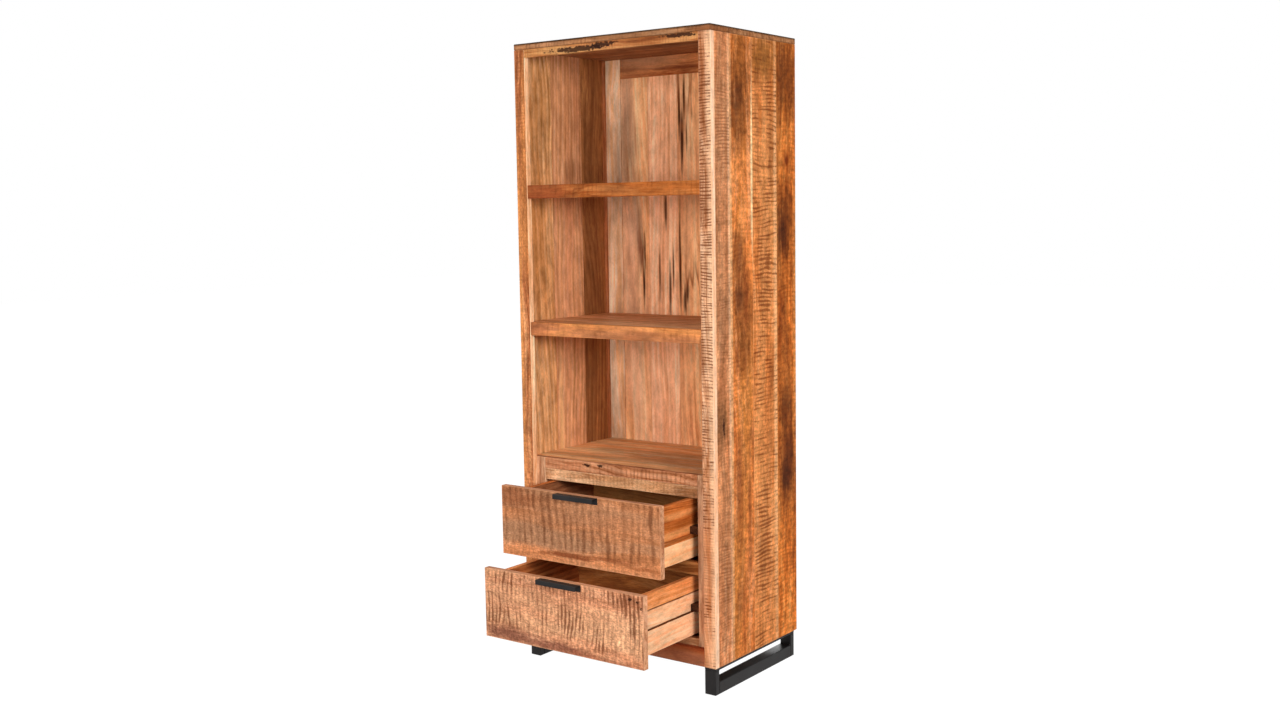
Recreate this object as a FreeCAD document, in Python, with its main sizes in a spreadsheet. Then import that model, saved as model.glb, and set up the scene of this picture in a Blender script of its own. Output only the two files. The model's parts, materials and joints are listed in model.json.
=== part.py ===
"""Bookcase with three open bays, a two-drawer chest below and a steel leg frame at each end.

Millimetres. X runs across the front from the left end to the right end, Y from the front to
the back, Z up. The origin is on the floor, under the middle of the case. The drawers stand
pulled out by the two pull lengths.
"""

import FreeCAD
import Part
import Sketcher

import os
import re

V = FreeCAD.Vector
SIDES = (("left", -1), ("right", 1))
DRAWERS = ("upper", "lower")
BACK_BOARDS = 5

DIMENSIONS = {
    # whole case
    "case_width": 710,
    "case_depth": 465,
    "case_height": 1900,
    "leg_height": 82,
    # outer boards
    "top_board_thickness": 18,
    "side_panel_thickness": 18,
    "bottom_board_thickness": 18,
    "left_seam_1": 150,
    "left_seam_2": 297,
    "left_seam_3": 412,
    "right_seam_1": 95,
    "right_seam_2": 217,
    "right_seam_3": 354,
    "seam_width": 1.0,
    "seam_depth": 0.6,
    # front frame and shelves
    "front_stile_width": 40,
    "front_stile_thickness": 20,
    "top_rail_height": 25,
    "lipping_height": 41,
    "lipping_thickness": 20,
    "lipping_setback": 2,
    "shelf_thickness": 20,
    "middle_bay_height": 376.5,
    "lower_bay_height": 379.5,
    # chest frame, behind the drawer fronts
    "chest_frame_thickness": 20,
    "chest_stile_reveal": 31,
    "deck_thickness": 18,
    "deck_rail_height": 34,
    "upper_rail_height": 35,
    "middle_rail_height": 38,
    "chest_bottom_rail_height": 55,
    "drawer_opening_height": 188,
    "rear_post_thickness": 20,
    # back frame and its boards
    "back_recess": 17,
    "back_frame_thickness": 18,
    "back_stile_width": 60,
    "back_rail_height": 62,
    "back_board_thickness": 12,
    "back_board_setback": 3,
    "back_tongue": 8,
    "back_end_gap": 0.5,
    # drawers
    "upper_drawer_pull": 176,
    "lower_drawer_pull": 260,
    "drawer_front_thickness": 20,
    "drawer_front_overlap": 7,
    "upper_front_drop": 7,
    "upper_front_rise": 13,
    "lower_front_drop": 15,
    "lower_front_rise": 5,
    "plinth_gap": 6,
    "seat_gap": 0.5,
    "box_side_gap": 24,
    "upper_box_floor_gap": 10,
    "upper_box_top_gap": 3,
    "lower_box_floor_gap": 6,
    "lower_box_top_gap": 7,
    "box_rear_gap": 28,
    "drawer_side_thickness": 16,
    "drawer_back_thickness": 16,
    "drawer_bottom_thickness": 8,
    "drawer_bottom_lift": 10,
    "drawer_bottom_tongue": 6,
    # wooden runners in the grooved drawer sides
    "runner_groove_drop": 80,
    "runner_groove_height": 25,
    "runner_groove_depth": 7,
    "runner_top_clearance": 0.3,
    "runner_under_clearance": 1.2,
    "runner_tip_clearance": 1,
    "runner_inset": 4,
    # folded steel pulls
    "pull_width": 146,
    "pull_sheet": 2,
    "pull_reach": 25,
    "pull_lip": 14,
    "pull_flange": 20,
    "pull_bend_radius": 2.4,
    # leg frames
    "leg_inset": 6,
    "leg_end_inset": 8,
    "leg_bar_width": 38,
    "leg_post_depth": 20,
    "leg_foot_height": 37,
    "leg_top_bar_thickness": 10,
    # eased edges
    "wood_arris": 0.8,
    "thin_arris": 0.5,
    "steel_arris": 1.2,
    # screws
    "bore_tip_gap": 1,
    "pull_screw_spacing": 104,
    "pull_screw_radius": 1.6,
    "pull_screw_head_radius": 3.5,
    "pull_screw_head_height": 1.6,
    "runner_screw_radius": 2,
    "runner_screw_length": 55,
    "runner_screw_head_radius": 4,
    "runner_screw_head_height": 2.4,
    "leg_screw_radius": 2.5,
    "leg_screw_cover": 4,
    "leg_screw_head_radius": 4.8,
    "leg_screw_head_height": 3,
    "leg_screw_spacing": 150,
    "back_screw_radius": 2,
    "back_screw_grip": 28,
    "back_screw_head_radius": 4,
    "back_screw_head_height": 2.4,
}

POSITIONS = {
    # planes across the depth
    "front_y": "-case_depth / 2",
    "rear_y": "case_depth / 2",
    "frame_y": "front_y + front_stile_thickness",
    "behind_frame_y": "frame_y + chest_frame_thickness",
    "shelf_y": "front_y + lipping_setback + lipping_thickness",
    "back_y": "rear_y - back_recess - back_frame_thickness",
    "back_rear_y": "rear_y - back_recess",
    "back_board_y": "back_y + back_board_setback",
    "rear_post_y": "back_y - rear_post_thickness",
    # planes across the width, given for the right-hand side
    "panel_x": "case_width / 2 - side_panel_thickness",
    "stile_x": "case_width / 2 - front_stile_width",
    "opening_x": "stile_x - chest_stile_reveal",
    "back_frame_x": "panel_x - back_stile_width",
    "box_x": "opening_x - box_side_gap",
    "box_inner_x": "box_x - drawer_side_thickness",
    "leg_outer_x": "case_width / 2 - leg_inset",
    # levels
    "under_top_z": "case_height - top_board_thickness",
    "floor_z": "leg_height + bottom_board_thickness",
    "lower_opening_z": "floor_z + chest_bottom_rail_height",
    "middle_rail_z": "lower_opening_z + drawer_opening_height",
    "upper_opening_z": "middle_rail_z + middle_rail_height",
    "upper_rail_z": "upper_opening_z + drawer_opening_height",
    "deck_rail_z": "upper_rail_z + upper_rail_height",
    "deck_top_z": "deck_rail_z + deck_rail_height",
    "deck_z": "deck_top_z - deck_thickness",
    "lower_shelf_top_z": "deck_top_z + lower_bay_height + lipping_height",
    "upper_shelf_top_z": "lower_shelf_top_z + middle_bay_height + lipping_height",
    "plinth_top_z": "lower_opening_z - lower_front_drop - plinth_gap",
    "back_panel_z": "leg_height + back_rail_height",
    "back_panel_top_z": "under_top_z - back_rail_height",
    # sizes that follow
    "case_body_height": "under_top_z - leg_height",
    "chest_stile_width": "panel_x - opening_x",
    "shelf_depth": "back_y - shelf_y",
    "back_groove_depth": "back_tongue + back_end_gap",
    "back_board_width": f"2 * (back_frame_x + back_tongue) / {BACK_BOARDS}",
    "runner_thickness": "box_side_gap + runner_groove_depth - runner_tip_clearance",
    "runner_height": "runner_groove_height - runner_top_clearance - runner_under_clearance",
    "drawer_box_depth": "back_y - frame_y - box_rear_gap",
    "leg_post_height": "leg_height - leg_top_bar_thickness",
    "leg_frame_depth": "case_depth - 2 * leg_end_inset",
    "leg_x": "leg_outer_x - leg_bar_width / 2",
    "leg_screw_x": "(leg_outer_x - leg_bar_width + panel_x) / 2",
}

doc = FreeCAD.newDocument("bookcase")
nodes = []
places = {}


def formula(text):
    """Put the sheet's name before every dimension or position named in the text."""

    def full(match):
        word = match.group(0)
        if word in DIMENSIONS:
            return "Dimensions." + word
        if word in POSITIONS:
            return "Positions." + word
        return word

    return re.sub(r"[a-z][a-z_0-9]*", full, text)


def fill_sheet(name, cells):
    sheet = doc.addObject("Spreadsheet::Sheet", name)
    for row, (alias, content) in enumerate(cells.items(), 1):
        sheet.set(f"A{row}", alias)
        sheet.set(f"B{row}", content)
        sheet.setAlias(f"B{row}", alias)


def bind(item, property_name, text):
    item.setExpression(property_name, formula(text))


def settle(item, x, y, z):
    """Bind the three coordinates of an item's placement."""
    bind(item, "Placement.Base.x", x)
    bind(item, "Placement.Base.y", y)
    bind(item, "Placement.Base.z", z)


def origin_plane(body, role):
    return next(f for f in body.Origin.OriginFeatures if f.Role == role)


def closed_sketch(body, name, role, corners, level_sides):
    """A closed outline on one of the body's planes, its sides held level or upright."""
    sketch = body.newObject("Sketcher::SketchObject", name)
    sketch.AttachmentSupport = [(origin_plane(body, role), "")]
    sketch.MapMode = "FlatFace"
    count = len(corners)
    for i in range(count):
        start, end = corners[i], corners[(i + 1) % count]
        sketch.addGeometry(Part.LineSegment(V(*start), V(*end)), False)
    for i in range(count):
        sketch.addConstraint(Sketcher.Constraint("Coincident", i, 2, (i + 1) % count, 1))
        lie = "Horizontal" if i in level_sides else "Vertical"
        sketch.addConstraint(Sketcher.Constraint(lie, i))
    return sketch


def measure(sketch, name, constraint, text):
    index = sketch.addConstraint(constraint)
    sketch.renameConstraint(index, name)
    bind(sketch, "Constraints." + name, text)


def new_body(label, x, y, z):
    body = doc.addObject("PartDesign::Body", label)
    settle(body, x, y, z)
    places[label] = (x, y, z)
    nodes.append(body)
    return body


def board(label, across, deep, tall, x, y, z, arris="wood_arris"):
    """A squared length with eased edges, from the middle of its width, its front and its base."""
    body = new_body(label, x, y, z)
    corners = [(-5, 0), (5, 0), (5, 5), (-5, 5)]
    plan = closed_sketch(body, label + "_plan", "XY_Plane", corners, (0, 2))
    plan.addConstraint(Sketcher.Constraint("Symmetric", 0, 1, 0, 2, -1, 1))
    measure(plan, "across", Sketcher.Constraint("DistanceX", 0, 1, 0, 2, 10), across)
    measure(plan, "deep", Sketcher.Constraint("DistanceY", 1, 1, 1, 2, 5), deep)
    pad = body.newObject("PartDesign::Pad", label + "_pad")
    pad.Profile = plan
    bind(pad, "Length", tall)
    eased = body.newObject("PartDesign::Chamfer", label + "_arris")
    eased.Base = (pad, ["Edge1"])
    eased.UseAllEdges = True
    bind(eased, "Size", arris)
    return body


def groove(body, name, size, corner):
    """Take a box out of a body; size and corner are in the body's own axes."""
    cut = body.newObject("PartDesign::SubtractiveBox", name)
    for side, text in zip(("Length", "Width", "Height"), size):
        bind(cut, side, text)
    settle(cut, *corner)


def screw(kind, name, length, seat, direction, *bodies):
    """A screw driven at its seat along a direction, and its bore in each body it enters.

    The runner screws and pull screws have sunk heads, the others heads that stand on the seat.
    """
    turn = FreeCAD.Placement(V(), FreeCAD.Rotation(V(0, 0, 1), direction))
    sunk = kind in ("runner_screw", "pull_screw")
    head = doc.addObject("Part::Cone" if sunk else "Part::Cylinder", name + "_head")
    bind(head, "Height", kind + "_head_height")
    if sunk:
        bind(head, "Radius1", kind + "_head_radius")
        bind(head, "Radius2", kind + "_radius")
    else:
        bind(head, "Radius", kind + "_head_radius")
        bind(head, "Placement.Base.z", f"-{kind}_head_height")
    shank = doc.addObject("Part::Cylinder", name + "_shank")
    bind(shank, "Radius", kind + "_radius")
    bind(shank, "Height", length)
    whole = doc.addObject("Part::MultiFuse", name)
    whole.Shapes = [head, shank]
    whole.Placement = turn
    settle(whole, *seat)
    for body in bodies:
        own_seat = [f"{at} - ({zero})" for at, zero in zip(seat, places[body.Label])]
        bore = body.newObject("PartDesign::SubtractiveCylinder", f"{name}_{body.Label}_bore")
        bore.Placement = turn
        bind(bore, "Radius", kind + "_radius")
        bind(bore, "Height", f"{length} + bore_tip_gap")
        settle(bore, *own_seat)
    if sunk:
        first = bodies[0]
        own_seat = [f"{at} - ({zero})" for at, zero in zip(seat, places[first.Label])]
        sink = first.newObject("PartDesign::SubtractiveCone", f"{name}_sink")
        sink.Placement = turn
        bind(sink, "Radius1", kind + "_head_radius")
        bind(sink, "Radius2", kind + "_radius")
        bind(sink, "Height", kind + "_head_height")
        settle(sink, *own_seat)
    return whole


def group(label, members):
    together = doc.addObject("Part::Compound", label)
    together.Links = members
    nodes.append(together)


fill_sheet("Dimensions", {alias: str(value) for alias, value in DIMENSIONS.items()})
fill_sheet("Positions", {alias: "=" + formula(text).replace("Positions.", "")
                         for alias, text in POSITIONS.items()})
doc.recompute()

# The case: a top over everything, two glued side panels, a stile on the front edge of each.
board("top_board", "case_width", "case_depth", "top_board_thickness",
      "0", "front_y", "under_top_z")
for side, sign in SIDES:
    panel = board(f"{side}_side_panel",
                  "side_panel_thickness", "case_depth - front_stile_thickness",
                  "case_body_height",
                  f"{sign} * (panel_x + side_panel_thickness / 2)", "frame_y", "leg_height")
    for seam in (f"{side}_seam_1", f"{side}_seam_2", f"{side}_seam_3"):
        groove(panel, f"{seam}_groove",
               ("seam_depth", "seam_width", "case_body_height"),
               (f"{sign} * (side_panel_thickness - seam_depth) / 2 - seam_depth / 2",
                f"{seam} - front_stile_thickness - seam_width / 2", "0"))
    board(f"{side}_front_stile",
          "front_stile_width", "front_stile_thickness", "case_body_height",
          f"{sign} * (stile_x + front_stile_width / 2)", "front_y", "leg_height")
board("bottom_board", "2 * panel_x", "back_y - frame_y", "bottom_board_thickness",
      "0", "frame_y", "leg_height")
board("top_front_rail", "2 * stile_x", "front_stile_thickness", "top_rail_height",
      "0", "front_y", "under_top_z - top_rail_height")
board("bottom_front_rail", "2 * stile_x", "front_stile_thickness", "plinth_top_z - leg_height",
      "0", "front_y", "leg_height")

# Two fixed shelves, each with a deeper lipping along its front edge.
shelves = {}
for level in ("upper", "lower"):
    shelves[level] = board(f"{level}_shelf",
                           "2 * panel_x", "shelf_depth", "shelf_thickness",
                           "0", "shelf_y", f"{level}_shelf_top_z - shelf_thickness")
    board(f"{level}_shelf_lipping",
          "2 * stile_x", "lipping_thickness", "lipping_height",
          "0", "front_y + lipping_setback", f"{level}_shelf_top_z - lipping_height")

# The chest frame that the drawer fronts close against, the deck over it and the rear posts.
deck = board("deck_board", "2 * panel_x", "back_y - behind_frame_y", "deck_thickness",
             "0", "behind_frame_y", "deck_z")
frame_rails = (
    ("deck_front_rail", "deck_rail_height", "deck_rail_z"),
    ("upper_drawer_rail", "upper_rail_height", "upper_rail_z"),
    ("middle_drawer_rail", "middle_rail_height", "middle_rail_z"),
    ("chest_bottom_rail", "chest_bottom_rail_height", "floor_z"),
)
for label, height, level in frame_rails:
    board(label, "2 * opening_x", "chest_frame_thickness", height, "0", "frame_y", level)
chest_stiles = {}
rear_posts = {}
for side, sign in SIDES:
    middle = f"{sign} * (opening_x + chest_stile_width / 2)"
    chest_stiles[side] = board(f"{side}_chest_stile",
                               "chest_stile_width", "chest_frame_thickness",
                               "deck_top_z - floor_z", middle, "frame_y", "floor_z")
    rear_posts[side] = board(f"{side}_rear_post",
                             "chest_stile_width", "rear_post_thickness", "deck_z - floor_z",
                             middle, "rear_post_y", "floor_z")

# The back: a grooved frame of two stiles and two rails that holds five upright boards.
back_stiles = {}
for side, sign in SIDES:
    stile = board(f"back_{side}_stile",
                  "back_stile_width", "back_frame_thickness", "case_body_height",
                  f"{sign} * (back_frame_x + back_stile_width / 2)", "back_y", "leg_height")
    groove(stile, f"back_{side}_stile_groove",
           ("back_groove_depth", "back_board_thickness", "case_body_height"),
           (f"-{sign} * (back_stile_width - back_groove_depth) / 2 - back_groove_depth / 2",
            "back_board_setback", "0"))
    back_stiles[side] = stile
back_rails = (
    ("back_top_rail", "back_panel_top_z", "0"),
    ("back_bottom_rail", "leg_height", "back_rail_height - back_groove_depth"),
)
for label, level, groove_level in back_rails:
    rail = board(label, "2 * back_frame_x", "back_frame_thickness", "back_rail_height",
                 "0", "back_y", level)
    groove(rail, label + "_groove",
           ("2 * back_frame_x", "back_board_thickness", "back_groove_depth"),
           ("-back_frame_x", "back_board_setback", groove_level))
for number in range(1, BACK_BOARDS + 1):
    board(f"back_board_{number}", "back_board_width", "back_board_thickness",
          "back_panel_top_z - back_panel_z + 2 * back_tongue",
          f"{number - (BACK_BOARDS + 1) / 2} * back_board_width", "back_board_y",
          "back_panel_z - back_tongue")

# Drawers, each with the pair of runners it slides on.
runner_screws = []
for drawer in DRAWERS:
    front_y = f"frame_y - seat_gap - drawer_front_thickness - {drawer}_drawer_pull"
    box_y = f"frame_y - seat_gap - {drawer}_drawer_pull"
    box_z = f"{drawer}_opening_z + {drawer}_box_floor_gap"
    box_height = f"drawer_opening_height - {drawer}_box_floor_gap - {drawer}_box_top_gap"
    front_z = f"{drawer}_opening_z - {drawer}_front_drop"
    front_height = f"drawer_opening_height + {drawer}_front_drop + {drawer}_front_rise"
    bottom_z = f"{box_z} + drawer_bottom_lift"
    groove_top = f"{box_height} - runner_groove_drop"

    front = board(f"{drawer}_drawer_front",
                  "2 * (opening_x + drawer_front_overlap)", "drawer_front_thickness",
                  front_height, "0", front_y, front_z)
    groove(front, f"{drawer}_front_bottom_groove",
           ("2 * (box_inner_x + drawer_bottom_tongue)", "drawer_bottom_tongue",
            "drawer_bottom_thickness"),
           ("-box_inner_x - drawer_bottom_tongue",
            "drawer_front_thickness - drawer_bottom_tongue",
            f"{bottom_z} - ({front_z})"))
    for side, sign in SIDES:
        wall = board(f"{drawer}_drawer_{side}_side",
                     "drawer_side_thickness", "drawer_box_depth", box_height,
                     f"{sign} * (box_x - drawer_side_thickness / 2)", box_y, box_z)
        groove(wall, f"{drawer}_{side}_runner_groove",
               ("runner_groove_depth", "drawer_box_depth", "runner_groove_height"),
               (f"{sign} * (drawer_side_thickness - runner_groove_depth) / 2"
                " - runner_groove_depth / 2",
                "0", f"{groove_top} - runner_groove_height"))
        groove(wall, f"{drawer}_{side}_bottom_groove",
               ("drawer_bottom_tongue", "drawer_box_depth", "drawer_bottom_thickness"),
               (f"-{sign} * (drawer_side_thickness - drawer_bottom_tongue) / 2"
                " - drawer_bottom_tongue / 2",
                "0", "drawer_bottom_lift"))
        runner = board(f"{drawer}_{side}_runner",
                       "runner_thickness", "back_y - frame_y - runner_inset", "runner_height",
                       f"{sign} * (opening_x - runner_thickness / 2)",
                       "frame_y + runner_inset",
                       f"{box_z} + {groove_top} - runner_top_clearance - runner_height",
                       "thin_arris")
        ends = (("front", "frame_y + chest_frame_thickness / 2", chest_stiles[side]),
                ("rear", "rear_post_y + rear_post_thickness / 2", rear_posts[side]))
        for end, screw_y, post in ends:
            runner_screws.append(screw(
                "runner_screw", f"{drawer}_{side}_{end}_runner_screw", "runner_screw_length",
                (f"{sign} * (opening_x - runner_thickness)", screw_y,
                 f"{box_z} + {groove_top} - runner_top_clearance - runner_height / 2"),
                V(sign, 0, 0), runner, post))
    board(f"{drawer}_drawer_back", "2 * box_inner_x", "drawer_back_thickness",
          f"{box_height} - drawer_bottom_lift - drawer_bottom_thickness",
          "0", f"{box_y} + drawer_box_depth - drawer_back_thickness",
          f"{bottom_z} + drawer_bottom_thickness")
    board(f"{drawer}_drawer_bottom", "2 * (box_inner_x + drawer_bottom_tongue)",
          "drawer_box_depth + drawer_bottom_tongue", "drawer_bottom_thickness",
          "0", f"{box_y} - drawer_bottom_tongue", bottom_z, "thin_arris")

    # Folded pull: a flange on the front's face, a plate level with its top edge and a lip ahead.
    pull_z = f"{front_z} + {front_height}"
    pull = new_body(f"{drawer}_drawer_pull_handle", "0", front_y, pull_z)
    corners = [(0, -20), (0, 0), (-25, 0), (-25, -14), (-23, -14), (-23, -2), (-2, -2), (-2, -20)]
    fold = closed_sketch(pull, f"{drawer}_fold", "YZ_Plane", corners, (1, 3, 5, 7))
    fold.addConstraint(Sketcher.Constraint("Coincident", 1, 1, -1, 1))
    measure(fold, "reach", Sketcher.Constraint("DistanceX", 1, 2, -1, 1, 25), "pull_reach")
    measure(fold, "lip", Sketcher.Constraint("DistanceY", 2, 2, 2, 1, 14), "pull_lip")
    measure(fold, "flange", Sketcher.Constraint("DistanceY", 0, 1, 0, 2, 20), "pull_flange")
    measure(fold, "lip_sheet", Sketcher.Constraint("DistanceX", 3, 1, 3, 2, 2), "pull_sheet")
    measure(fold, "plate_sheet", Sketcher.Constraint("DistanceY", 5, 1, 1, 2, 2), "pull_sheet")
    measure(fold, "flange_sheet", Sketcher.Constraint("DistanceX", 7, 1, 7, 2, 2), "pull_sheet")
    blank = pull.newObject("PartDesign::Pad", f"{drawer}_pull_blank")
    blank.Profile = fold
    blank.Midplane = True
    bind(blank, "Length", "pull_width")
    doc.recompute()
    outer_bends = [
        f"Edge{i}" for i, edge in enumerate(blank.Shape.Edges, 1)
        if edge.BoundBox.XLength > DIMENSIONS["pull_width"] / 2
        and abs(edge.BoundBox.ZMin) < 0.01]
    bend = pull.newObject("PartDesign::Fillet", f"{drawer}_pull_bend")
    bend.Base = (blank, outer_bends)
    bind(bend, "Radius", "pull_bend_radius")
    group(f"{drawer}_pull_screws", [
        screw("pull_screw", f"{drawer}_{side}_pull_screw",
              "drawer_front_thickness + pull_sheet",
              (f"{sign} * pull_screw_spacing / 2", box_y, f"{pull_z} - pull_flange / 2"),
              V(0, -1, 0), front, pull)
        for side, sign in SIDES])
group("runner_screws", runner_screws)

# Steel leg frames: two posts, a foot rail between them and a flat bar under the case.
bottom = next(body for body in nodes if body.Label == "bottom_board")
leg_screws = []
for side, sign in SIDES:
    leg_x = f"{sign} * leg_x"
    post_ends = (("front", "front_y + leg_end_inset"),
                 ("rear", "rear_y - leg_end_inset - leg_post_depth"))
    for end, post_y in post_ends:
        board(f"{side}_leg_{end}_post", "leg_bar_width", "leg_post_depth", "leg_post_height",
              leg_x, post_y, "0", "steel_arris")
    board(f"{side}_leg_foot_rail", "leg_bar_width", "leg_frame_depth - 2 * leg_post_depth",
          "leg_foot_height", leg_x, "front_y + leg_end_inset + leg_post_depth", "0",
          "steel_arris")
    bar = board(f"{side}_leg_top_bar", "leg_bar_width", "leg_frame_depth",
                "leg_top_bar_thickness", leg_x, "front_y + leg_end_inset", "leg_post_height",
                "steel_arris")
    for number in (-1, 0, 1):
        leg_screws.append(screw(
            "leg_screw", f"{side}_leg_screw_{number + 2}",
            "leg_top_bar_thickness + bottom_board_thickness - leg_screw_cover",
            (f"{sign} * leg_screw_x", f"{number} * leg_screw_spacing", "leg_post_height"),
            V(0, 0, 1), bar, bottom))
group("leg_screws", leg_screws)

# Screws through the back frame into the rear edges of the shelves, the deck and the bottom.
levels = (("upper_shelf", shelves["upper"], "upper_shelf_top_z - shelf_thickness / 2"),
          ("lower_shelf", shelves["lower"], "lower_shelf_top_z - shelf_thickness / 2"),
          ("deck", deck, "deck_z + deck_thickness / 2"),
          ("bottom", bottom, "leg_height + bottom_board_thickness / 2"))
group("back_screws", [
    screw("back_screw", f"{level}_{side}_back_screw", "back_frame_thickness + back_screw_grip",
          (f"{sign} * (panel_x - back_stile_width / 2)", "back_rear_y", height),
          V(0, -1, 0), back_stiles[side], shelf)
    for level, shelf, height in levels for side, sign in SIDES])

doc.recompute()
for item in doc.Objects:
    if "Invalid" in item.State or "Error" in item.State:
        raise RuntimeError(f"{item.Label}: {item.State}")
os.makedirs("parts", exist_ok=True)
for node in nodes:
    if node.Shape.isNull() or not node.Shape.isValid():
        raise RuntimeError(f"{node.Label} has no valid shape")
    node.Shape.exportStep(f"parts/{node.Label}.step")
print(len(nodes), "nodes")
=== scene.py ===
import json
import math
import random

import bmesh
import bpy
from mathutils import Matrix, Vector, noise


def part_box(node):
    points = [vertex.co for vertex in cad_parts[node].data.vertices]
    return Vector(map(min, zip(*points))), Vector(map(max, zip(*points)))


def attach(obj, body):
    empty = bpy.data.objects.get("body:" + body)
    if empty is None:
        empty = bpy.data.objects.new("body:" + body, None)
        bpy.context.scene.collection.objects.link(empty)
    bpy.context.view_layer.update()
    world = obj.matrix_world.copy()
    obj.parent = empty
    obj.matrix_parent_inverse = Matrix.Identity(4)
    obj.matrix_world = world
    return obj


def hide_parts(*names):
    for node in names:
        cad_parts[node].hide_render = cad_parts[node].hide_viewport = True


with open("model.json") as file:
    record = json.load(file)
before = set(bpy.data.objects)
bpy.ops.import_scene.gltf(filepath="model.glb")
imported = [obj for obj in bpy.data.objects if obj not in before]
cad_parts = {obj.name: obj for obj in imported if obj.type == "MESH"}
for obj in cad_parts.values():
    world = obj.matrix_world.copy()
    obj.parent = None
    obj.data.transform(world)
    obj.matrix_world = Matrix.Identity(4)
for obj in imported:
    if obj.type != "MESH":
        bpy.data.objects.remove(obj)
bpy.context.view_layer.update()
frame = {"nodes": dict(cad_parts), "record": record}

# -------------------------------------- studio
# A pale floor that runs out to a white room, a soft lamp on each of the four sides, and the
# camera at eye height to the right of the case.

FLOOR_SIZE = 40.0
PAPER_GREY = 0.60
PAPER_GLOW = 1.13
GLOW_SHARE = 0.88
ROOM_LIGHT = 0.16
LENS = 38.93
SENSOR = 36.0
CAMERA_PLACE = Vector((2.465, -3.4595, 1.389))
YAW, PITCH, ROLL = 0.6321, -0.1063, -0.0151


def shade(tree, kind, values=None, **settings):
    """Add a shader node: its sockets get a value, or a link where a socket is given."""
    made = tree.nodes.new("ShaderNode" + kind)
    for name, value in settings.items():
        setattr(made, name, value)
    for key, value in (values or {}).items():
        if isinstance(value, bpy.types.NodeSocket):
            tree.links.new(value, made.inputs[key])
        else:
            made.inputs[key].default_value = value
    return made


def maths(tree, operation, first, second=0.0):
    return shade(tree, "Math", {0: first, 1: second}, operation=operation).outputs[0]


def plainly_seen(tree):
    """1 for what is seen straight, in gloss or through glass, and 0 for light on the object."""
    rays = shade(tree, "LightPath").outputs
    mirrored = maths(tree, "MAXIMUM", rays["Is Camera Ray"], rays["Is Glossy Ray"])
    return maths(tree, "MAXIMUM", mirrored, rays["Is Transmission Ray"])


bpy.ops.mesh.primitive_plane_add(size=FLOOR_SIZE)
floor = bpy.context.object
floor.name = "studio_floor"

paper = bpy.data.materials.new("studio_paper")
paper.use_nodes = True
sheet = paper.node_tree
matt = sheet.nodes["Principled BSDF"]
matt.inputs["Base Color"].default_value = (PAPER_GREY, PAPER_GREY, PAPER_GREY, 1)
matt.inputs["Roughness"].default_value = 0.9
matt.inputs["Specular IOR Level"].default_value = 0.1
glowing = shade(sheet, "Emission", {"Strength": PAPER_GLOW})
share = maths(sheet, "MULTIPLY", plainly_seen(sheet), GLOW_SHARE)
both = shade(sheet, "MixShader", {0: share, 1: matt.outputs[0], 2: glowing.outputs[0]})
sheet.links.new(both.outputs[0], sheet.nodes["Material Output"].inputs["Surface"])
floor.data.materials.append(paper)

room = bpy.data.worlds.new("studio_room")
bpy.context.scene.world = room
room.use_nodes = True
walls = room.node_tree
fill_light = walls.nodes["Background"]
fill_light.inputs["Color"].default_value = (1, 1, 1, 1)
fill_light.inputs["Strength"].default_value = ROOM_LIGHT
white = shade(walls, "Background", {"Color": (1, 1, 1, 1), "Strength": 1.0})
both = shade(walls, "MixShader", {0: plainly_seen(walls), 1: fill_light.outputs[0],
                                  2: white.outputs[0]})
walls.links.new(both.outputs[0], walls.nodes["World Output"].inputs["Surface"])


def soft_box(name, place, aim, size, power):
    lamp = bpy.data.lights.new(name, "AREA")
    lamp.shape = "SQUARE"
    lamp.size = size
    lamp.energy = power
    holder = bpy.data.objects.new(name, lamp)
    holder.location = place
    holder.rotation_euler = (Vector(aim) - Vector(place)).to_track_quat("-Z", "Y").to_euler()
    bpy.context.scene.collection.objects.link(holder)


soft_box("front_soft_box", (0.6, -5.0, 1.7), (0, 0, 0.9), 2.0, 145)
soft_box("side_soft_box", (4.36, -2.17, 1.9), (0.1, 0, 0.9), 1.1, 165)
soft_box("left_soft_box", (-3.8, -0.6, 2.4), (0, 0, 0.9), 2.4, 75)
soft_box("rear_soft_box", (-1.4, 4.2, 2.6), (0, 0.2, 1.0), 2.4, 110)

camera_data = bpy.data.cameras.new("camera")
camera_data.sensor_width = SENSOR
camera_data.lens = LENS
camera = bpy.data.objects.new("camera", camera_data)
looking = Vector((-math.sin(YAW) * math.cos(PITCH), math.cos(YAW) * math.cos(PITCH),
                  math.sin(PITCH)))
level_right = Vector((math.cos(YAW), math.sin(YAW), 0))
level_up = level_right.cross(looking)
rolled_right = math.cos(ROLL) * level_right + math.sin(ROLL) * level_up
rolled_up = math.cos(ROLL) * level_up - math.sin(ROLL) * level_right
camera.matrix_world = Matrix.Translation(CAMERA_PLACE) @ Matrix(
    (rolled_right, rolled_up, -looking)).transposed().to_4x4()
bpy.context.scene.collection.objects.link(camera)
bpy.context.scene.camera = camera
bpy.context.scene.view_settings.view_transform = "Standard"

# -------------------------------------- top board
# One wide mango board over the whole case, its grain from end to end, rough-sawn and varnished,
# with dark worn edges. It is glued down on the side panels and the front rail.

ARRIS = 0.0014
RIPPLE = 0.00035
SLICE = 0.03
SAME_PLACE = 0.00001
RING_PITCH = 0.016
VARNISH_GLOSS = 0.06
BUMP_DEPTH = 0.0011
BARK_BLACK = "#2c150b"
EDGE_DARK = "#2e1c10"
# Cells per metre across and along the grain.
STREAK_CELLS = (24, 0.8)
STRAND_CELLS = (100, 2.4)
FIBRE_CELLS = (340, 7.0)
PORE_CELLS = (900, 38)


def stain(code):
    """A hex colour as it looks, turned into the linear values that the shaders take."""
    parts = [int(code[i:i + 2], 16) / 255 for i in (1, 3, 5)]
    return (*[p / 12.92 if p <= 0.04045 else ((p + 0.055) / 1.055) ** 2.4 for p in parts], 1)


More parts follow.
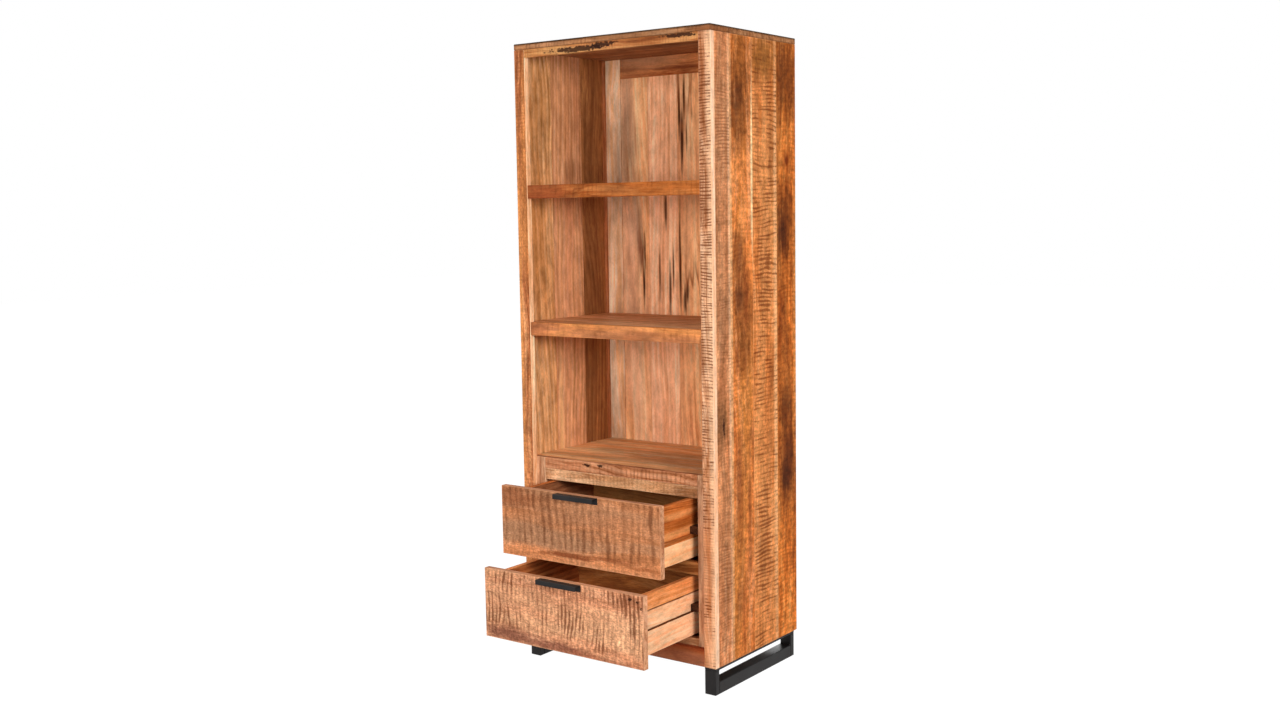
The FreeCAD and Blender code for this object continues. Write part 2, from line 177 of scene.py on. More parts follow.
def spread(tree, value, low, high, to_low=0.0, to_high=1.0):
    """Read a value between two limits and give it back between two others, clamped."""
    return shade(tree, "MapRange", {"Value": value, "From Min": low, "From Max": high,
                                    "To Min": to_low, "To Max": to_high}).outputs[0]


def waver(tree, value, unevenness, amount):
    """Let a value rise and fall with an unevenness that runs from 0 to 1."""
    swing = maths(tree, "MULTIPLY", maths(tree, "SUBTRACT", unevenness, 0.5), amount)
    return maths(tree, "ADD", value, swing)


def grain_noise(tree, place, across, along, detail, shift=0.0, rough=0.55):
    """Noise drawn out along the grain: across and along are its cells per metre."""
    scaled = shade(tree, "Mapping", {"Vector": place, "Scale": (across, across, along),
                                     "Location": (shift, shift * 1.7, shift * 0.6)}).outputs[0]
    return shade(tree, "TexNoise", {"Vector": scaled, "Scale": 1.0, "Detail": detail,
                                    "Roughness": rough}).outputs["Fac"]


def paint(tree, amount, under, over, kind="MIX"):
    """Lay a colour over another, by an amount from 0 to 1."""
    mixed = shade(tree, "Mix", data_type="RGBA", blend_type=kind)
    for slot_number, value in ((0, amount), (6, under), (7, over)):
        if isinstance(value, bpy.types.NodeSocket):
            tree.links.new(value, mixed.inputs[slot_number])
        else:
            mixed.inputs[slot_number].default_value = value
    return mixed.outputs[2]


def mango(name, box, along, tones, seed, flame=0.25, streak=0.8, fibre=0.6, short=1.0,
          wave=0.12, tint="#b0703c", tinted=0.0, blotch=0.3, mottle=0.2, speck=0.1, spalt=0.0,
          saw=0.0, saw_pitch=0.010, saw_bow=1.5, saw_zone=0.0, saw_soft=0.0, stroke=24,
          bites=(), missed=(), patches=(), scars=(), knots=(), worn=0.4, worn_width=0.003,
          worn_tone=None, dull=0.6, relief=1.0):
    """Varnished mango wood for one board that fills a box.

    along is the axis of the grain and tones its dark, middle and pale colours, which rings
    (flame), broad streaks and fibres share out; short shortens the streaks, wave bends them,
    and tint is a second colour that comes and goes. blotch is the strength of brown stains,
    mottle of cloudy and speck of grainy unevenness, spalt of thin dark rot lines.

    saw is the depth of the cross marks that the saw left, and the crests between them are
    painted lighter, a painted highlight; saw_pitch is the way from one mark to the next, saw_bow
    how far they curve, and stroke the cells per metre that break them up.
    saw_soft blurs them, and a lower saw_zone leaves more of the board unmarked. worn is how
    far the edges are rubbed to worn_tone, or to pale, and worn_width how far in that goes.
    dull is the roughness of the varnish, and relief the depth of everything in it.

    A patch is a place, three radii, a colour and its strength. A bite, where the saw cut
    deeper, a missed place, which it left smooth, and a scar, broken and black, are a place
    and three radii, and a knot is a place and one. Places count from the box's low corner.
    """
    wood = bpy.data.materials.new(name)
    wood.use_nodes = True
    tree = wood.node_tree
    surface = tree.nodes["Principled BSDF"]
    low, high = [Vector(corner) for corner in box]
    dark, middle, pale = [stain(code) for code in tones]
    kerf = (dark[0] * 0.50, dark[1] * 0.37, dark[2] * 0.27, 1)
    turn = {"X": (0, -math.pi / 2, 0), "Y": (math.pi / 2, 0, 0), "Z": (0, 0, 0)}[along]
    turned = Matrix.Rotation(turn[1], 3, "Y") @ Matrix.Rotation(turn[0], 3, "X")
    position = shade(tree, "TexCoord").outputs["Object"]
    local = shade(tree, "Mapping", {"Vector": position, "Rotation": turn,
                                    "Location": turned @ (low + high) / -2}).outputs[0]

    def away(place, radii):
        """How far a point is from a place on the board, counted in radii."""
        spot = low + Vector(place)
        near = shade(tree, "Mapping", {"Vector": position,
                                       "Location": [-p / r for p, r in zip(spot, radii)],
                                       "Scale": [1 / r for r in radii]}).outputs[0]
        return shade(tree, "VectorMath", {0: near}, operation="LENGTH").outputs["Value"]

    pith = random.Random(seed)
    offset = (pith.uniform(0.03, 0.14) * pith.choice((-1, 1)), pith.uniform(0.02, 0.10),
              pith.uniform(2, 9))
    lean = (math.radians(pith.uniform(-2, 2)), math.radians(pith.uniform(-2, 2)), 0)
    log = shade(tree, "Mapping", {"Vector": local, "Location": offset,
                                  "Rotation": lean}).outputs[0]
    loose = shade(tree, "Mapping", {"Vector": log, "Scale": (4.0, 4.0, 1.3)}).outputs[0]
    bend = shade(tree, "TexNoise", {"Vector": loose, "Scale": 1.0, "Detail": 2.5})
    bent = shade(tree, "VectorMath", {0: bend.outputs["Color"], 1: (wave, wave, 0.0), 2: log},
                 operation="MULTIPLY_ADD").outputs[0]
    broad, narrow, fine = [
        grain_noise(tree, bent, across, length * short, detail, seed * share, rough)
        for (across, length), detail, share, rough in (
            (STREAK_CELLS, 4.0, 0.37, 0.55), (STRAND_CELLS, 3.0, 0.23, 0.55),
            (FIBRE_CELLS, 3.0, 0.11, 0.65))]
    flat = shade(tree, "Mapping", {"Vector": bent, "Scale": (1, 1, 0)}).outputs[0]
    radius = shade(tree, "VectorMath", {0: flat}, operation="LENGTH").outputs["Value"]
    turns = maths(tree, "ADD", maths(tree, "MULTIPLY", radius, 2 * math.pi / RING_PITCH),
                  maths(tree, "MULTIPLY", narrow, 5.0))
    ring = spread(tree, maths(tree, "SINE", turns), -0.9, 0.7, 1.0, 0.0)

    figure = 0.5
    for share, strand in ((flame, ring), (streak, spread(tree, broad, 0.30, 0.70)),
                          (0.1 + 0.4 * streak, spread(tree, narrow, 0.30, 0.70)),
                          (fibre, spread(tree, fine, 0.28, 0.72))):
        figure = waver(tree, figure, strand, share)
    ramp = shade(tree, "ValToRGB", {"Fac": figure})
    ramp.color_ramp.elements[0].position = 0.12
    ramp.color_ramp.elements[0].color = dark
    ramp.color_ramp.elements[1].position = 0.90
    ramp.color_ramp.elements[1].color = pale
    ramp.color_ramp.elements.new(0.50).color = middle
    colour = ramp.outputs["Color"]
    if tinted:
        wash = grain_noise(tree, bent, 11, 1.2, 2.0, shift=seed * 0.61)
        colour = paint(tree, spread(tree, wash, 0.44, 0.60, 0.0, tinted), colour, stain(tint))
    if blotch:
        cloud = grain_noise(tree, bent, 17, 3.2, 5.0, shift=seed * 0.53, rough=0.65)
        cloud = waver(tree, cloud, fine, 0.35)
        colour = paint(tree, spread(tree, cloud, 0.52, 0.68, 0.0, blotch), colour, kerf)
    for place, radii, tone, strength in patches:
        reach = waver(tree, away(place, radii), narrow, 1.1)
        reach = waver(tree, reach, fine, 0.7)
        colour = paint(tree, spread(tree, reach, 1.20, 0.45, 0.0, strength), colour, stain(tone))
    for strength, across, length, share in ((mottle, 42, 17 * short, 0.31),
                                            (speck, 260, 120, 0.83)):
        cloud = grain_noise(tree, local, across, length, 4.0, shift=seed * share, rough=0.65)
        lit = spread(tree, cloud, 0.32, 0.68, 1 - strength, 1 + strength)
        colour = paint(tree, 1.0, colour, lit, "MULTIPLY")
    pores = grain_noise(tree, local, *PORE_CELLS, 2.0, shift=seed)
    pores = spread(tree, pores, 0.60, 0.72, 0.0, 0.30)
    colour = paint(tree, pores, colour, kerf)
    height = maths(tree, "SUBTRACT", maths(tree, "MULTIPLY", fine, 0.25),
                   maths(tree, "MULTIPLY", pores, 0.35))

    if spalt:
        wander = grain_noise(tree, bent, 12, 1.1, 3.0, shift=seed * 0.9)
        line = maths(tree, "ABSOLUTE", maths(tree, "SUBTRACT", wander, 0.5))
        line = spread(tree, line, 0.004, 0.020, spalt, 0.0)
        gate = spread(tree, grain_noise(tree, local, 7, 2.2, 1.0, shift=seed * 1.3), 0.44, 0.54)
        colour = paint(tree, maths(tree, "MULTIPLY", line, gate), colour, kerf)

    if saw:
        parts = shade(tree, "SeparateXYZ", {0: local}).outputs
        across = maths(tree, "ADD", maths(tree, "MULTIPLY", parts[0], parts[0]),
                       maths(tree, "MULTIPLY", parts[1], parts[1]))
        feed = grain_noise(tree, local, 3, 3, 2.0, shift=seed * 0.7)
        travel = maths(tree, "ADD", parts[2], maths(tree, "MULTIPLY", across, saw_bow))
        travel = maths(tree, "ADD", travel, maths(tree, "MULTIPLY", feed, 0.05))
        jerk = grain_noise(tree, local, 5, 0.2 / saw_pitch, 2.0, shift=seed * 0.33)
        travel = maths(tree, "ADD", travel, maths(tree, "MULTIPLY", jerk, 2.2 * saw_pitch))
        strokes = maths(tree, "SINE", maths(tree, "MULTIPLY", travel, 2 * math.pi / saw_pitch))
        for cells, share in (((stroke, 0.6 / saw_pitch), 5.0), ((260, 260), 2.0),
                             ((9, 4.5), 4.0)):
            ragged = grain_noise(tree, local, *cells, 2.0, shift=seed * 0.2 + share)
            strokes = waver(tree, strokes, ragged, share)
        for place, radii in bites:
            deeper = spread(tree, away(place, radii), 1.2, 0.5, 0.0, 0.8)
            strokes = maths(tree, "ADD", strokes, deeper)
        for place, radii in missed:
            planed = spread(tree, away(place, radii), 1.3, 0.7, 0.0, 2.5)
            strokes = maths(tree, "SUBTRACT", strokes, planed)
        cut = maths(tree, "ADD", strokes, saw_zone)
        cut = spread(tree, cut, 0.75 - saw_soft, 1.40 + saw_soft)
        # The crests between the saw marks are painted lighter: a painted highlight on the ridges.
        crest_highlight = spread(tree, strokes, -0.8, -1.6, 1.0, 1.0 + 0.25 * saw)
        colour = paint(tree, 1.0, colour, crest_highlight, "MULTIPLY")
        colour = paint(tree, maths(tree, "MULTIPLY", cut, 0.85 * saw), colour, kerf)
        height = maths(tree, "SUBTRACT", height, maths(tree, "MULTIPLY", cut, 1.2 * saw))

    for place, radii in scars:
        crumble = grain_noise(tree, local, 130, 85, 4.0, shift=seed * 0.77, rough=0.7)
        broken = maths(tree, "SUBTRACT", maths(tree, "MULTIPLY", crumble, 2.2), away(place, radii))
        broken = spread(tree, broken, 0.35, 0.50)
        colour = paint(tree, maths(tree, "MULTIPLY", broken, 0.92), colour, stain(BARK_BLACK))
        height = maths(tree, "SUBTRACT", height, maths(tree, "MULTIPLY", broken, 1.6))

    for place, size in knots:
        reach = away(place, [size * (1.7 if axis == along else 1.0) for axis in "XYZ"])
        reach = waver(tree, reach, narrow, 1.2)
        colour = paint(tree, spread(tree, reach, 2.6, 0.9, 0.0, 0.6), colour, dark)
        eye = spread(tree, reach, 1.0, 0.55, 0.0, 0.9)
        colour = paint(tree, eye, colour, kerf)
        height = maths(tree, "SUBTRACT", height, maths(tree, "MULTIPLY", eye, 0.6))

    if worn:
        folded = shade(tree, "VectorMath", {0: local}, operation="ABSOLUTE").outputs[0]
        half = [abs(part) / 2 for part in turned @ (high - low)]
        inward = shade(tree, "VectorMath", {0: half, 1: folded}, operation="SUBTRACT").outputs[0]
        gaps = shade(tree, "SeparateXYZ", {0: inward}).outputs
        nearer = maths(tree, "MINIMUM", gaps[0], gaps[1])
        farther = maths(tree, "MAXIMUM", gaps[0], gaps[1])
        edge = maths(tree, "MAXIMUM", nearer, maths(tree, "MINIMUM", farther, gaps[2]))
        rubbing = grain_noise(tree, local, 60, 22, 3.0, shift=seed * 0.45)
        edge = maths(tree, "ADD", edge, maths(tree, "MULTIPLY", rubbing, worn_width * 1.2))
        rubbed = spread(tree, edge, worn_width * 1.5, worn_width * 0.4, 0.0, worn)
        colour = paint(tree, rubbed, colour, stain(worn_tone) if worn_tone else pale)

    tree.links.new(colour, surface.inputs["Base Color"])
    varnish = spread(tree, figure, 0.2, 0.8, dull + 0.12, dull - 0.04)
    tree.links.new(varnish, surface.inputs["Roughness"])
    surface.inputs["Specular IOR Level"].default_value = VARNISH_GLOSS
    bump = shade(tree, "Bump", {"Height": height, "Strength": 0.55,
                                "Distance": BUMP_DEPTH * relief})
    tree.links.new(bump.outputs[0], surface.inputs["Normal"])
    return wood


def finish_number(face, number, sides):
    """The number of a face's material, or that of its side, such as +X, where sides has one."""
    for side, other in (sides or {}).items():
        if face.normal["XYZ".index(side[1])] * (1 if side[0] == "+" else -1) > 0.9:
            number = other
    return number


def join_in(bm, part):
    """Add a finished part to a mesh that holds several."""
    carrier = bpy.data.meshes.new("carrier")
    part.to_mesh(carrier)
    part.free()
    bm.from_mesh(carrier)
    bpy.data.meshes.remove(carrier)


def saw_out(bm, low, high, along, seed, arris=ARRIS, number=0, sides=None):
    """Add one squared board to a mesh: a box with rounded arrises and slightly uneven faces.

    Its long faces are cut across in slices, and their points move in by up to the ripple.
    """
    low, high = Vector(low), Vector(high)
    size = high - low
    centre = (low + high) / 2
    axis = "XYZ".index(along)
    board = bmesh.new()
    bmesh.ops.create_cube(board, size=1.0)
    bmesh.ops.scale(board, vec=size, verts=board.verts)
    bmesh.ops.translate(board, vec=centre, verts=board.verts)
    bmesh.ops.bevel(board, geom=board.edges[:], offset=arris, offset_type="OFFSET", segments=2,
                    profile=0.5, affect="EDGES", material=-1)
    long_edges = [edge for edge in board.edges
                  if abs((edge.verts[0].co - edge.verts[1].co)[axis]) > 0.6 * size[axis]]
    bmesh.ops.subdivide_edges(board, edges=long_edges, cuts=max(1, round(size[axis] / SLICE)),
                              use_grid_fill=True)
    board.normal_update()
    for face in board.faces:
        face.smooth = True
        face.material_index = finish_number(face, number, sides)
    for vert in board.verts:
        for way in range(3):
            if way != axis:
                dent = noise.noise(vert.co * 31 + Vector((seed, 7 * way, 0)))
                inward = -1 if vert.co[way] > centre[way] else 1
                vert.co[way] += inward * RIPPLE * (0.5 + 0.5 * dent)
    join_in(bm, board)


def fit(bm, name, nodes, materials):
    """Turn a finished mesh into the piece that stands for nodes of the built model."""
    mesh = bpy.data.meshes.new(name)
    bm.to_mesh(mesh)
    bm.free()
    for material in materials:
        mesh.materials.append(material)
    piece = bpy.data.objects.new(name, mesh)
    bpy.context.scene.collection.objects.link(piece)
    flatten = piece.modifiers.new("flat_faces", "WEIGHTED_NORMAL")
    flatten.weight = 100
    record = frame["record"]
    body = next(b for b, members in record["behaviour"]["bodies"].items() if nodes[0] in members)
    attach(piece, body)
    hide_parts(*nodes)


def lay_board(node, along, materials, seed, arris=ARRIS, sides=None):
    """One board in place of a node."""
    bm = bmesh.new()
    saw_out(bm, *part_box(node), along, seed, arris, sides=sides)
    fit(bm, node + "_board", [node], materials)


def ease_edges(node, materials, width=0.0008, sides=None, seams=()):
    """A grooved or jointed part as it is built, with its sharp edges eased.

    Above each seam, a height over the part's foot, its faces take the next material.
    """
    bm = bmesh.new()
    bm.from_mesh(frame["nodes"][node].data)
    bmesh.ops.remove_doubles(bm, verts=bm.verts, dist=SAME_PLACE)
    bmesh.ops.dissolve_limit(bm, angle_limit=math.radians(2), verts=bm.verts, edges=bm.edges)
    sharp = [edge for edge in bm.edges if edge.calc_face_angle(0) > math.radians(40)]
    bmesh.ops.bevel(bm, geom=sharp, offset=width, offset_type="OFFSET", segments=2, profile=0.5,
                    affect="EDGES", clamp_overlap=True, material=-1)
    heights = [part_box(node)[0].z + seam for seam in seams]
    for height in heights:
        bmesh.ops.bisect_plane(bm, geom=bm.verts[:] + bm.edges[:] + bm.faces[:],
                               plane_co=(0, 0, height), plane_no=(0, 0, 1))
    bm.normal_update()
    for face in bm.faces:
        face.smooth = True
        middle = face.calc_center_median()
        above = sum(middle.z > height for height in heights)
        face.material_index = finish_number(face, above, sides)
    fit(bm, node + "_eased", [node], materials)


top_wood = mango("top_board_wood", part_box("top_board"), "X", ("#754628", "#a36f48", "#bb8c67"), 3,
                 streak=0.5, flame=0.15, fibre=0.4, wave=0.07, saw=0.4, saw_pitch=0.012,
                 blotch=0.35, tint="#b06f42", tinted=0.4, mottle=0.3, worn=0.5, worn_width=0.004,
                 worn_tone="#33200f", patches=(
                     ((0.70, 0.02, 0.008), (0.07, 0.10, 0.05), "#7a4626", 0.75),
                     ((0.35, 0.0, 0.018), (3.0, 0.006, 0.006), EDGE_DARK, 0.9),
                     ((0.71, 0.23, 0.018), (0.006, 3.0, 0.006), EDGE_DARK, 0.9)))
lay_board("top_board", "X", [top_wood], 1)

# -------------------------------------- side panels
# Each end of the case is four upright mango planks glued edge to edge, rough from the saw on
# the outside and planed inside. The planks keep their own colours, with pale sapwood at some
# of the joints. Inside, one plank towards the back is darker, partly its own colour and partly
# painted shade, and painted shade lies high on the front planks under the top board.

PLANK_ARRIS = 0.0012
# Where the planks meet, back from the front edge of the top board, and which of the looks
# below each plank has, from the front one on.
side_joints = {"left": (0.150, 0.297, 0.412), "right": (0.095, 0.217, 0.354)}
outside_order = {"left": (2, 3, 0, 1), "right": (0, 1, 2, 3)}
inside_order = {"left": (0, 1, 3, 2), "right": (0, 1, 2, 3)}


def side_marks(*marks, depth=0.02, through=0.05):
    """Marks on the side of a board, given by how far back and up they are and two radii.

    They go through the board: depth is their middle and through their radius that way.
    """
    return [((depth, back, up), (through, wide, tall), *rest)
            for back, up, wide, tall, *rest in marks]


outer_planks = (
    dict(tones=("#985631", "#d98957", "#f4b583"), streak=0.4, fibre=0.3, flame=0.1, saw=0.6,
         saw_pitch=0.009, saw_soft=0.45, saw_bow=0.4, saw_zone=-0.3, stroke=14, blotch=0.5,
         short=3, mottle=0.35, speck=0.2, tint="#8f6647", tinted=0.5, worn=0.3,
         patches=side_marks(
             (0.072, 0.9, 0.010, 1.2, "#f4bd90", 0.75),
             (0.030, 1.02, 0.05, 0.16, "#7c5c42", 0.4),
             (0.045, 0.36, 0.05, 0.26, "#97633f", 0.55),
             (0.020, 0.70, 0.04, 0.10, "#7a4f30", 0.8)),
         scars=side_marks((0.033, 0.695, 0.007, 0.035)),
         bites=side_marks((0.035, 1.55, 0.05, 0.16), (0.030, 0.30, 0.04, 0.12))),
    dict(tones=("#a04d22", "#e0813f", "#f3a66f"), streak=0.45, fibre=0.3, flame=0.1, saw=0.30,
         saw_pitch=0.013, saw_soft=0.4, blotch=0.6, short=3, mottle=0.4, speck=0.25,
         tint="#c9803c", tinted=0.6, worn=0.4, worn_width=0.004,
         patches=side_marks(
             (0.058, 1.73, 0.075, 0.10, "#85481c", 0.7),
             (0.048, 1.59, 0.060, 0.15, "#6e3a18", 0.75),
             (0.048, 1.63, 0.040, 0.05, "#4f2610", 0.6),
             (0.045, 1.19, 0.040, 0.08, "#652f15", 0.7),
             (0.060, 1.04, 0.060, 0.14, "#703a1b", 0.7),
             (0.045, 1.06, 0.025, 0.05, "#4a2010", 0.6),
             (0.070, 0.90, 0.055, 0.07, "#7c431f", 0.6),
             (0.040, 0.50, 0.025, 0.18, "#8a4420", 0.7),
             (0.095, 0.40, 0.012, 0.22, "#94502a", 0.6),
             (0.050, 0.17, 0.035, 0.07, "#8c4a26", 0.5),
             (0.119, 1.42, 0.0085, 0.26, "#fbdca6", 1.0),
             (0.004, 0.9, 0.007, 1.2, "#e3b07c", 0.7))),
    dict(tones=("#974c20", "#d98041", "#eda96e"), streak=0.4, fibre=0.3, flame=0.1, saw=0.85,
         saw_pitch=0.0125, saw_bow=0.2, saw_soft=0.25, stroke=16, blotch=0.4, short=3,
         mottle=0.3, speck=0.25, tint="#dc9458", tinted=0.6, worn=0.4, worn_width=0.004,
         patches=side_marks((0.127, 0.9, 0.012, 1.2, "#f1b47c", 0.75),
                            (0.060, 1.75, 0.08, 0.07, "#85501f", 0.8)),
         bites=side_marks(
             (0.094, 1.56, 0.016, 0.20), (0.040, 1.19, 0.018, 0.06),
             (0.085, 1.17, 0.018, 0.08), (0.062, 1.02, 0.035, 0.05),
             (0.060, 0.35, 0.045, 0.20))),
    dict(tones=("#994617", "#e27e35", "#efa055"), streak=0.45, fibre=0.35, flame=0.1, saw=0.40,
         saw_pitch=0.013, saw_soft=0.4, blotch=0.8, short=2.5, mottle=0.45, speck=0.25,
         tint="#8a4a20", tinted=0.7, worn=0.2,
         patches=side_marks(
             (0.045, 1.26, 0.050, 0.13, "#54260f", 0.8),
             (0.030, 1.24, 0.025, 0.06, "#35170b", 0.7),
             (0.055, 0.53, 0.060, 0.13, "#5a2a13", 0.8),
             (0.045, 0.50, 0.030, 0.05, "#35170b", 0.7),
             (0.040, 0.71, 0.045, 0.07, "#55270f", 0.75),
             (0.104, 1.0, 0.010, 0.5, "#d68e4d", 0.6),
             (0.020, 0.98, 0.014, 0.12, "#8c3f14", 0.7),
             (0.055, 1.70, 0.08, 0.13, "#6b3311", 0.85)),
         knots=(((0.02, 0.056, 1.454), 0.012), )),
)
inner_planks = (
    dict(tones=("#a36831", "#dda26c", "#ebc192"), streak=0.35, fibre=0.3, wave=0.08, blotch=0.2,
         tint="#b5733c", tinted=0.6, mottle=0.35,
         # The patch high on the plank is painted shade under the top board.
         patches=side_marks((0.08, 1.66, 0.12, 0.20, "#96602f", 0.4), depth=0.0)),
    dict(tones=("#9d693e", "#d59769", "#e3b58d"), streak=0.2, fibre=0.3, wave=0.08, blotch=0.2,
         tint="#c07d58", tinted=0.5, mottle=0.25,
         patches=side_marks(
             (0.02, 0.55, 0.012, 0.45, "#e6b87c", 0.5),
             # Painted shade under the top board, high on the plank.
             (0.07, 1.66, 0.12, 0.20, "#9a5f38", 0.4),
             (0.10, 1.42, 0.05, 0.07, "#6e4326", 0.6), depth=0.0)),
    dict(tones=("#975d38", "#d08b5e", "#e3af83"), streak=0.2, fibre=0.3, wave=0.08, blotch=0.15,
         tint="#a9683c", tinted=0.4),
    # This plank is darker than the others, partly its own colour and partly painted shade.
    dict(tones=("#82532e", "#af7545", "#cd8e55"), streak=0.3, blotch=0.3, tint="#6b3f22",
         tinted=0.5),
)

case_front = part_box("top_board")[0].y
for side, sign in (("left", -1), ("right", 1)):
    low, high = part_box(f"{side}_side_panel")
    lines = [low.y] + [case_front + joint for joint in side_joints[side]] + [high.y]
    bm = bmesh.new()
    woods = []
    for number, (front, back) in enumerate(zip(lines, lines[1:])):
        plank = Vector((low.x, front, low.z)), Vector((high.x, back, high.z))
        seed = 20 + 10 * number + (0 if sign > 0 else 5)
        woods.append(mango(f"{side}_plank_{number}_outside", plank, "Z", seed=seed,
                           **outer_planks[outside_order[side][number]]))
        woods.append(mango(f"{side}_plank_{number}_inside", plank, "Z", seed=seed + 2,
                           worn=0.0, relief=0.35, dull=0.45,
                           **inner_planks[inside_order[side][number]]))
        saw_out(bm, *plank, "Z", seed, PLANK_ARRIS, number=2 * number,
                sides={"-X" if sign > 0 else "+X": 2 * number + 1})
    fit(bm, f"{side}_side_planks", [f"{side}_side_panel"], woods)

# -------------------------------------- front stiles
# Square upright mango bars, glued on the front edges of the panels. Their fronts are heavily
# marked by the saw, their outer sides are pale planed sapwood.


def front_marks(*marks, depth=0.01, through=0.05):
    """Marks on the front of a board, given by how far over and up they are and two radii."""
    return [((over, depth, up), (wide, through, tall), *rest)
            for over, up, wide, tall, *rest in marks]


stile_fronts = {
    "left": dict(tones=("#884422", "#bb7144", "#da9663"), blotch=0.35, saw=0.25, tint="#c67f45",
                 tinted=0.6, mottle=0.35, speck=0.3,
                 patches=front_marks((0.006, 1.55, 0.016, 0.35, "#8f4f2e", 0.7),
                                     (0.004, 0.9, 0.008, 0.8, "#d98f4f", 0.7))),
    "right": dict(tones=("#925634", "#be855f", "#dcad88"), blotch=0.1, saw=0.95,
                  saw_pitch=0.0085, saw_bow=0.5, saw_zone=0.25,
                  patches=front_marks((0.014, 0.30, 0.04, 0.36, "#af6d41", 0.65),
                                      (0.037, 0.9, 0.012, 3.0, "#e2b48c", 0.6)),
                  missed=front_marks((0.014, 0.06, 0.03, 0.06)),
                  bites=front_marks((0.014, 0.185, 0.016, 0.03))),
}
for side, sign in (("left", -1), ("right", 1)):
    node = f"{side}_front_stile"
    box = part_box(node)
    seed = 60 + sign
    rough = mango(f"{side}_stile_front", box, "Z", seed=seed, worn=0.4, **stile_fronts[side])
    cream = mango(f"{side}_stile_side", box, "Z", ("#f9b98c", "#facba6", "#fadbbb"), seed + 4,
                  blotch=0.05, flame=0.1, saw=0.10, worn=0.0, relief=0.5)
    warm = mango(f"{side}_stile_inner", box, "Z", ("#d9965f", "#fabf90", "#fae1b5"), seed + 8,
                 blotch=0.1, worn=0.2)
    outer, inner = ("+X", "-X") if sign > 0 else ("-X", "+X")
    lay_board(node, "Z", [rough, cream, warm], seed, sides={outer: 1, inner: 2})

# -------------------------------------- front rails of the case
# A narrow mango rail under the top and a wider one at the foot of the case, glued between the
# stiles. The top rail keeps two stretches of black broken bark edge. The foot rail's dark
# colour is painted shade from the open lower drawer above it.

top_rail_wood = mango("top_rail_wood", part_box("top_front_rail"), "X",
                      ("#753e1d", "#ab6736", "#d0945a"), 71, blotch=0.3, saw=0.25, worn=0.2,
                      tint="#a8643a", tinted=0.5,
                      scars=front_marks(
                          (0.21, 0.010, 0.15, 0.0115),
                          (0.30, 0.015, 0.065, 0.0135),
                          (0.57, 0.019, 0.085, 0.0085)))
lay_board("top_front_rail", "X", [top_rail_wood], 71)
# Dark red-brown: painted shade from the open lower drawer above the rail.
foot_rail_wood = mango("foot_rail_wood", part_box("bottom_front_rail"), "X",
                       ("#5d2109", "#7e3215", "#904622"), 74, blotch=0.25, worn=0.3,
                       tint="#c8916c", tinted=0.4)
lay_board("bottom_front_rail", "X", [foot_rail_wood], 74)

# -------------------------------------- shelves
# Two planed mango shelves, grain from end to end, each with a deeper lipping glued along its
# front edge between the stiles.

lippings = {
    "upper": dict(tones=("#6a2f10", "#984f20", "#b46e39"), saw=0.3, saw_pitch=0.019, blotch=0.45,
                  mottle=0.3, tint="#b5672e", tinted=0.5,
                  patches=front_marks((0.05, 0.02, 0.13, 0.04, "#8d4626", 0.7),
                                      (0.33, 0.02, 0.08, 0.014, "#8f532b", 0.5))),
    "lower": dict(tones=("#8d4216", "#c36d2d", "#e19048"), saw=0.3, saw_pitch=0.021, blotch=0.4,
                  mottle=0.3, tint="#cf8f62", tinted=0.5,
                  patches=front_marks((0.02, 0.02, 0.06, 0.04, "#a05f3c", 0.6))),
}
for number, level in enumerate(("upper", "lower")):
    node = f"{level}_shelf"
    shelf_wood = mango(node + "_wood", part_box(node), "X", ("#ac7249", "#dc9e6f", "#f7c491"),
                       81 + number, blotch=0.15, worn=0.1, relief=0.4, dull=0.42,
                       tint="#a96a41", tinted=0.5)
    lay_board(node, "X", [shelf_wood], 81 + number)
    node = f"{level}_shelf_lipping"
    lip_wood = mango(f"{level}_lipping_wood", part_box(node), "X", seed=84 + number, worn=0.3,
                     **lippings[level])
    lay_board(node, "X", [lip_wood], 84 + number)

# -------------------------------------- deck and chest frame
# The mango deck closes the chest. In front of it stands a frame of two stiles and four rails,
# set back so that the drawer fronts close flush with the case.

deck_wood = mango("deck_wood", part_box("deck_board"), "X", ("#fab476", "#fabf87", "#faebb5"), 91,
                  blotch=0.12, worn=0.1, relief=0.4, dull=0.4, tint="#955f3e", tinted=0.5)
lay_board("deck_board", "X", [deck_wood], 91)
chest_rails = {
    "deck_front_rail": dict(
        tones=("#844825", "#bf7a52", "#dfa075"), streak=0.5, saw=0.5, saw_pitch=0.016,
        saw_soft=0.3, blotch=0.35,
        scars=front_marks((0.165, 0.024, 0.022, 0.007), (0.215, 0.026, 0.016, 0.006))),
    "upper_drawer_rail": dict(
        tones=("#9c5f38", "#cf966a", "#eab88c"), saw=0.35, saw_pitch=0.014, saw_soft=0.4,
        blotch=0.45, speck=0.3, mottle=0.3,
        patches=front_marks((0.36, 0.02, 0.18, 0.03, "#c58a5a", 0.6),
                            (0.56, 0.02, 0.12, 0.03, "#7c4a26", 0.8))),
    "middle_drawer_rail": dict(tones=("#844820", "#af6d3a", "#c9884f"), blotch=0.2),
    "chest_bottom_rail": dict(tones=("#84502f", "#b07850", "#c9966c"), blotch=0.2),
}
for number, (node, look) in enumerate(chest_rails.items()):
    wood = mango(node + "_wood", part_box(node), "X", seed=93 + number, worn=0.3, **look)
    lay_board(node, "X", [wood], 93 + number)
for number, side in enumerate(("left", "right")):
    node = f"{side}_chest_stile"
    wood = mango(node + "_wood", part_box(node), "Z", ("#94603f", "#c38f6a", "#dcae88"),
                 98 + number, blotch=0.2, worn=0.3)
    lay_board(node, "Z", [wood], 98 + number)

# -------------------------------------- back
# A grooved frame of two mango stiles and two rails, screwed to the case from behind, with five
# upright planed boards let into its grooves. Some boards keep the dark lines of old rot.

